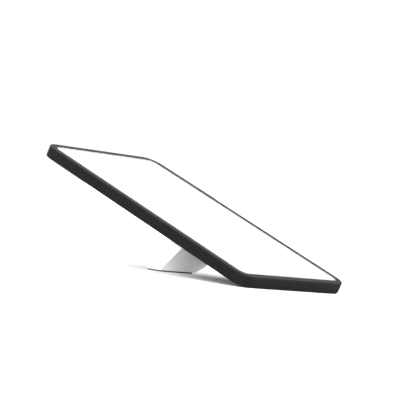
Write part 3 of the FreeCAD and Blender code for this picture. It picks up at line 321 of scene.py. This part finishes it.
ribbon = new_finish("polyimide_ribbon", "#B4762A", 0.35, {"IOR": 1.6})
add_patches(ribbon, 3 * MM, "#A96D24", "#C08233")
add_grain(ribbon, 0.3 * MM, 0.005 * MM, (0.3, 0.42))
print("inner materials made: board, chips, battery pouch and ribbon")

# %% [markdown]
# ## Dressing the frame
# Every rigid piece arrives with a plain material that is named for its slot.
# The slots could be filled piece by piece, but one table by slot name can't miss a piece.

# %% Give each piece its finish
FINISHES = {
    "housing_plastic": housing, "bezel_plastic": rim, "leg_plastic": leg_shell,
    "key_plastic": key_shell, "signal_key": signal_shell, "frosted_plastic": frosted,
    "rubber": rubber, "cover_glass": cover, "optical_glass": optical, "lit_screen": screen,
    "black_film": film, "acrylic": guide, "led_phosphor": phosphor, "steel": steel,
    "screw_steel": screw_steel, "washer_steel": washer_steel, "magnesium": magnesium,
    "circuit_board": mask, "chip_epoxy": epoxy, "battery_pouch": pouch, "polyimide": ribbon,
}
for node in NODES.values():
    for slot in node.material_slots:
        slot.material = FINISHES[slot.material.name.split(".")[0]].material
print("finishes in use:", len(FINISHES))

# %% [markdown]
# ## Small parts in the slab's frame
# The small parts are flat prints, rings and wires. Each could be a primitive object that is
# scaled and turned into place, but then its patterns would stretch and turn with it.
# So each one is drawn in millimetres in the slab's frame, and its mesh alone is moved there.

# %% Helpers for small parts
SLAB_MM = SLAB @ Matrix.Scale(MM, 4)


def add_block(form, low, high):
    """A block between two corners."""
    size = Vector(high) - Vector(low)
    middle = (Vector(high) + Vector(low)) / 2
    place = Matrix.Translation(middle) @ Matrix.Diagonal((*size, 1.0))
    bmesh.ops.create_cube(form, size=1.0, matrix=place)


def finished(name, form, finish, body):
    """Moves a drawing in the slab's frame to the table, and rides it on its body."""
    bmesh.ops.recalc_face_normals(form, faces=form.faces)
    form.transform(SLAB_MM)
    mesh = bpy.data.meshes.new(name)
    form.to_mesh(mesh)
    form.free()
    mesh.materials.append(finish.material)
    piece = bpy.data.objects.new(name, mesh)
    bpy.context.scene.collection.objects.link(piece)
    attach(piece, body)
    return piece


print("small parts are drawn in mm, 1 mm is", SLAB_MM.median_scale)

# %% [markdown]
# ## Prints on the keys
# Each key carries a pad-printed mark: minus and plus for the zoom, a ring for the colour mode,
# two bars to freeze the picture and a broken ring with a bar for power.
# They could be painted in the material, but a thin film of ink has an edge that catches light.

# %% Ink
INK_BASE = 79.94
INK_TOP = 79.975
KEY_LEVEL = 4.5
INK_WIDTH = 0.4
MARK_REACH = 0.9
KEY_PLACES = {"zoom_out": 150, "zoom_in": 166, "mode": 182, "freeze": 197, "power": 222}
ink = new_finish("pale_pad_print_ink", "#D9DBDD", 0.6)
add_patches(ink, 0.5 * MM, "#D2D4D6", "#E0E2E4")
add_grain(ink, 0.2 * MM, 0.002 * MM, (0.52, 0.7))
print("keys to print:", sorted(KEY_PLACES))

# %% [markdown]
# ## Bars and rings
# Every mark is made of bars and rings. A font or a drawn outline could give them too, but a bar
# is one block, and a ring is one square section that is carried round and closed on itself.

# %% Helpers for bars and rings
def add_bar(form, place, level, length, height):
    """A flat bar of ink, length along the key and height across it."""
    half = Vector((0, length / 2, height / 2))
    middle = Vector((0, place, KEY_LEVEL + level))
    low = middle - half + Vector((INK_BASE, 0, 0))
    high = middle + half + Vector((INK_TOP, 0, 0))
    add_block(form, low, high)


def add_ring(form, place, level, radii, height, turn=(0.0, 360.0), axis="X", steps=32):
    """A flat ring or part of one: radii inner and outer, height low and high on its axis."""
    whole = turn[1] - turn[0] == 360.0
    section = ((radii[0], height[0]), (radii[1], height[0]),
               (radii[1], height[1]), (radii[0], height[1]))
    rounds = []
    for step in range(steps + (0 if whole else 1)):
        angle = math.radians(turn[0] + (turn[1] - turn[0]) * step / steps)
        corners = []
        for radius, lift in section:
            across, along = radius * math.sin(angle), radius * math.cos(angle)
            if axis == "X":
                corners.append(form.verts.new((lift, place + across, level + along)))
            else:
                corners.append(form.verts.new((level + across, place + along, lift)))
        rounds.append(corners)
    pairs = list(zip(rounds, rounds[1:])) + ([(rounds[-1], rounds[0])] if whole else [])
    for first, second in pairs:
        for side in range(4):
            following = (side + 1) % 4
            form.faces.new((first[side], first[following], second[following], second[side]))
    if not whole:
        form.faces.new(rounds[0])
        form.faces.new(rounds[-1])


print("a mark reaches %.1f mm from the middle of its key" % MARK_REACH)

# %% [markdown]
# ## The five marks
# Minus, plus, ring, two bars and the power sign. A table of strokes could hold all five, but
# each mark is only one to three strokes, so they are laid down one after the other.

# %% Marks on the keys
INK = (INK_BASE, INK_TOP)
RING = (MARK_REACH - INK_WIDTH, MARK_REACH)
ARM = MARK_REACH - INK_WIDTH / 2
RING_BREAK = 40.0
POWER_BAR_LEVEL = MARK_REACH * 0.6
POWER_BAR_WIDTH = INK_WIDTH * 0.8

minus_mark = bmesh.new()
add_bar(minus_mark, KEY_PLACES["zoom_out"], 0, 2 * MARK_REACH, INK_WIDTH)
finished("zoom_out_mark", minus_mark, ink, "zoom_out_button")

plus_mark = bmesh.new()
add_bar(plus_mark, KEY_PLACES["zoom_in"], 0, 2 * MARK_REACH, INK_WIDTH)
for side in (-1, 1):
    add_bar(plus_mark, KEY_PLACES["zoom_in"], side * (INK_WIDTH / 2 + ARM / 2), INK_WIDTH, ARM)
finished("zoom_in_mark", plus_mark, ink, "zoom_in_button")

mode_mark = bmesh.new()
add_ring(mode_mark, KEY_PLACES["mode"], KEY_LEVEL, RING, INK)
finished("mode_mark", mode_mark, ink, "mode_button")

freeze_mark = bmesh.new()
for side in (-1, 1):
    bar_place = KEY_PLACES["freeze"] + side * INK_WIDTH
    add_bar(freeze_mark, bar_place, 0, INK_WIDTH, 2 * MARK_REACH)
finished("freeze_mark", freeze_mark, ink, "freeze_button")

power_mark = bmesh.new()
open_turn = (RING_BREAK, 360.0 - RING_BREAK)
add_ring(power_mark, KEY_PLACES["power"], KEY_LEVEL, RING, INK, turn=open_turn)
add_bar(power_mark, KEY_PLACES["power"], POWER_BAR_LEVEL, POWER_BAR_WIDTH, MARK_REACH)
finished("power_mark", power_mark, ink, "power_button")
print("marks on the keys:", len(KEY_PLACES))

# %% [markdown]
# ## Rings round the windows
# A turned aluminium ring hides the glued edge of the camera's window, and smaller rings do the
# same for the two reading lamps. They could be swept curves, but a plain square section,
# closed round in one pass, gives the same shape with fewer faces.

# %% Turned rings
TRIM_REACH = 0.9
TRIM_PROUD = 0.25
SEAT_GAP = 0.15
RING_STEPS = 72
turned = new_finish("turned_black_aluminium", "#2E2F32", 0.32, {"Metallic": 1.0})
add_patches(turned, 3 * MM, "#292A2D", "#353639")
add_grain(turned, 0.2 * MM, 0.003 * MM, (0.26, 0.4))
# Each ring has its place across the slab and its window's radius, in mm.
WINDOWS = {
    "camera_ring": (0.0, 6.5),
    "lamp_ring_left": (-18.0, 3.6),
    "lamp_ring_right": (18.0, 3.6),
}
for ring_name, (across, window_radius) in WINDOWS.items():
    ring_form = bmesh.new()
    inner = window_radius + SEAT_GAP
    reach = (inner, inner + TRIM_REACH)
    add_ring(
        ring_form, CAMERA_PLACE / MM, across, reach, (-TRIM_PROUD, 0.0),
        axis="Z", steps=RING_STEPS,
    )
    finished(ring_name, ring_form, turned, "slab")
print("turned rings:", len(WINDOWS))

# %% [markdown]
# ## What repeats along a line
# The speaker slots are backed by a woven steel cloth, and the charging socket holds a row of
# gold contacts. Both are one small shape copied along a line, which a loop could do as well.
# A geometry tree does it with named inputs, so the count and the step stay easy to change.

# %% A geometry tree for rows
row_tree = bpy.data.node_groups.new("row_of_copies", "GeometryNodeTree")
for socket_name, socket_kind in (
    ("Shape", "NodeSocketGeometry"), ("Count", "NodeSocketInt"),
    ("Step", "NodeSocketVector"), ("Finish", "NodeSocketMaterial"),
):
    row_tree.interface.new_socket(socket_name, in_out="INPUT", socket_type=socket_kind)
row_tree.interface.new_socket("Shape", in_out="OUTPUT", socket_type="NodeSocketGeometry")
row_inputs = add_node(row_tree, "NodeGroupInput").outputs
row_points = add_node(
    row_tree, "GeometryNodeMeshLine",
    links={"Count": row_inputs["Count"], "Offset": row_inputs["Step"]}, mode="OFFSET",
)
row_copies = add_node(
    row_tree, "GeometryNodeInstanceOnPoints",
    links={"Points": row_points.outputs["Mesh"], "Instance": row_inputs["Shape"]},
)
row_real = add_node(
    row_tree, "GeometryNodeRealizeInstances",
    links={"Geometry": row_copies.outputs["Instances"]},
)
row_finish = add_node(
    row_tree, "GeometryNodeSetMaterial",
    links={"Geometry": row_real.outputs["Geometry"], "Material": row_inputs["Finish"]},
)
add_node(row_tree, "NodeGroupOutput", links={"Shape": row_finish.outputs["Geometry"]})
ROW_SOCKETS = {
    item.name: item.identifier for item in row_tree.interface.items_tree
    if item.in_out == "INPUT"
}
print("row tree has inputs", sorted(ROW_SOCKETS))

# %% [markdown]
# ## From the tree to a plain mesh
# A tree's copies are lost when the model is exported, so each row is turned into a plain mesh.
# The modifier could be applied by an operator, but that needs a selection and a mode. Reading
# the evaluated object needs neither, and the single shape is thrown away afterwards.

# %% A row as a plain mesh
def row_of(form, count, step, finish):
    """Copies a drawing along a line of the slab's frame, and returns the row as a drawing."""
    mesh = bpy.data.meshes.new("row_shape")
    form.to_mesh(mesh)
    form.free()
    single = bpy.data.objects.new("row_shape", mesh)
    bpy.context.scene.collection.objects.link(single)
    row = single.modifiers.new("row", "NODES")
    row.node_group = row_tree
    row[ROW_SOCKETS["Count"]] = count
    row[ROW_SOCKETS["Step"]] = step
    row[ROW_SOCKETS["Finish"]] = finish.material
    depsgraph = bpy.context.evaluated_depsgraph_get()
    plain = bpy.data.meshes.new_from_object(single.evaluated_get(depsgraph), depsgraph=depsgraph)
    single.modifiers.clear()
    bpy.data.objects.remove(single)
    whole = bmesh.new()
    whole.from_mesh(plain)
    return whole


def joined(forms):
    """Several drawings as one."""
    whole = bmesh.new()
    for form in forms:
        mesh = bpy.data.meshes.new("part_of_drawing")
        form.to_mesh(mesh)
        form.free()
        whole.from_mesh(mesh)
    return whole


print("rows and drawings can be joined")

# %% [markdown]
# ## Speaker cloth
# Woven stainless cloth keeps dust out of the speakers. It could be one flat sheet with a
# pattern, but wires lie over each other. Real cloth has holes of about 0.1 mm, which would
# look like plain grey, so the wires here are 0.5 mm apart.

# %% Speaker cloth
CLOTH_LEVEL = 1.45
WIRE_HALF = 0.04
CLOTH_PITCH = 0.5
CLOTH_WIDE = 16
CLOTH_LONG = 13
SPEAKER_SPREAD = 54
cloth_forms = []
low_end = CAMERA_PLACE / MM - CLOTH_LONG / 2
for side in (-1, 1):
    left = side * SPEAKER_SPREAD - CLOTH_WIDE / 2
    warp = bmesh.new()
    add_block(warp, (left, low_end, CLOTH_LEVEL - WIRE_HALF),
              (left + 2 * WIRE_HALF, low_end + CLOTH_LONG, CLOTH_LEVEL))
    cloth_forms.append(row_of(warp, int(CLOTH_WIDE / CLOTH_PITCH), (CLOTH_PITCH, 0, 0), steel))
    weft = bmesh.new()
    add_block(weft, (left, low_end, CLOTH_LEVEL),
              (left + CLOTH_WIDE, low_end + 2 * WIRE_HALF, CLOTH_LEVEL + WIRE_HALF))
    cloth_forms.append(row_of(weft, int(CLOTH_LONG / CLOTH_PITCH), (0, CLOTH_PITCH, 0), steel))
cloth = finished("speaker_cloth", joined(cloth_forms), steel, "slab")
print("cloth faces:", len(cloth.data.polygons))

# %% [markdown]
# ## Gold contacts
# The socket's tongue carries twelve contacts on each face, half a millimetre apart, plated
# with gold so that they never tarnish. They could be painted stripes, but the row tree gives
# them a thickness with nothing new to build.

# %% Contacts on the tongue
CONTACTS = 12
CONTACT_PITCH = 0.5
CONTACT_HALF = 0.13
CONTACT_THICK = 0.03
SOCKET_ACROSS = -30
TONGUE_LEVEL = 3.08
TONGUE_HALF = 0.35
CONTACT_ENDS = (266.2, 270.4)
gold = new_finish("plated_gold", "#E6B54A", 0.25, {"Metallic": 1.0})
add_patches(gold, 0.8 * MM, "#DDAA40", "#EDC05A")
add_grain(gold, 0.2 * MM, 0.002 * MM, (0.2, 0.32))
contact_forms = []
first_contact = SOCKET_ACROSS - CONTACT_PITCH * (CONTACTS - 1) / 2
for base, top in ((TONGUE_HALF, TONGUE_HALF + CONTACT_THICK),
                  (-TONGUE_HALF - CONTACT_THICK, -TONGUE_HALF)):
    contact = bmesh.new()
    add_block(contact, (first_contact - CONTACT_HALF, CONTACT_ENDS[0], TONGUE_LEVEL + base),
              (first_contact + CONTACT_HALF, CONTACT_ENDS[1], TONGUE_LEVEL + top))
    contact_forms.append(row_of(contact, CONTACTS, (CONTACT_PITCH, 0, 0), gold))
contacts = finished("socket_contacts", joined(contact_forms), gold, "slab")
print("contact faces:", len(contacts.data.polygons))

# %% [markdown]
# ## Floor
# The magnifier stands on a wide sheet of white paper. A small square sheet would show its edge
# from low down, so the floor is a flat disc that runs on far past what the lens can see.

# %% Floor
FLOOR_REACH = 40.0
FLOOR_SIDES = 96
floor_form = bmesh.new()
bmesh.ops.create_circle(floor_form, cap_ends=True, segments=FLOOR_SIDES, radius=FLOOR_REACH)
floor_mesh = bpy.data.meshes.new("floor")
floor_form.to_mesh(floor_mesh)
floor_form.free()
floor = bpy.data.objects.new("floor", floor_mesh)
bpy.context.scene.collection.objects.link(floor)
paper = new_finish("white_paper_sweep", "#F6F6F6", 0.9, {"Specular IOR Level": 0.0})
add_patches(paper, 400 * MM, "#F5F5F5", "#F7F7F7")
floor_mesh.materials.append(paper.material)
print("floor reaches %.0f m" % FLOOR_REACH)

# %% [markdown]
# ## Sky
# The magnifier stands in a bright white room, lit evenly from all round. Several soft boxes
# would light it too, but each would leave its own edge in the shadow. The sky has two
# strengths: one that the lens sees, just over white, and a higher one that reaches the object.

# %% Sky
SEEN_SKY = 1.05
GIVEN_SKY = 1.5
sky = bpy.data.worlds.new("white_room")
sky.use_nodes = True
sky.node_tree.nodes.clear()
ray = add_node(sky.node_tree, "ShaderNodeLightPath")
strength = add_node(
    sky.node_tree, "ShaderNodeMapRange", {"To Min": GIVEN_SKY, "To Max": SEEN_SKY},
    {"Value": ray.outputs["Is Camera Ray"]},
)
glow = add_node(
    sky.node_tree, "ShaderNodeBackground", {"Color": srgb("#FFFFFF")},
    {"Strength": strength.outputs["Result"]},
)
add_node(sky.node_tree, "ShaderNodeOutputWorld", links={"Surface": glow.outputs["Background"]})
bpy.context.scene.world = sky
bpy.context.scene.view_settings.view_transform = "Standard"
print("sky gives", GIVEN_SKY)

# %% [markdown]
# ## Two soft lamps
# A high lamp behind the slab lays a soft shadow under its low half, and a low lamp beside the
# camera reaches under the slab to the white leg. Lamps close by would do it too, but light from
# far off stays even over the whole object. Both are wide, so that no edge of shadow is hard.

# %% Lamps
# Each lamp has the way towards it, its strength, and its width in degrees.
LAMPS = {
    "high_lamp": ((0.35, 0.75, 0.8), 1.0, 45.0),
    "low_lamp": ((-0.75, -0.6, 0.25), 5.2, 40.0),
}
for lamp_name, (towards, power, width) in LAMPS.items():
    lamp = bpy.data.lights.new(lamp_name, "SUN")
    lamp.energy = power
    lamp.angle = math.radians(width)
    lamp_holder = bpy.data.objects.new(lamp_name, lamp)
    lamp_holder.rotation_euler = Vector(towards).to_track_quat("Z", "Y").to_euler()
    bpy.context.scene.collection.objects.link(lamp_holder)
print("lamps:", len(LAMPS))
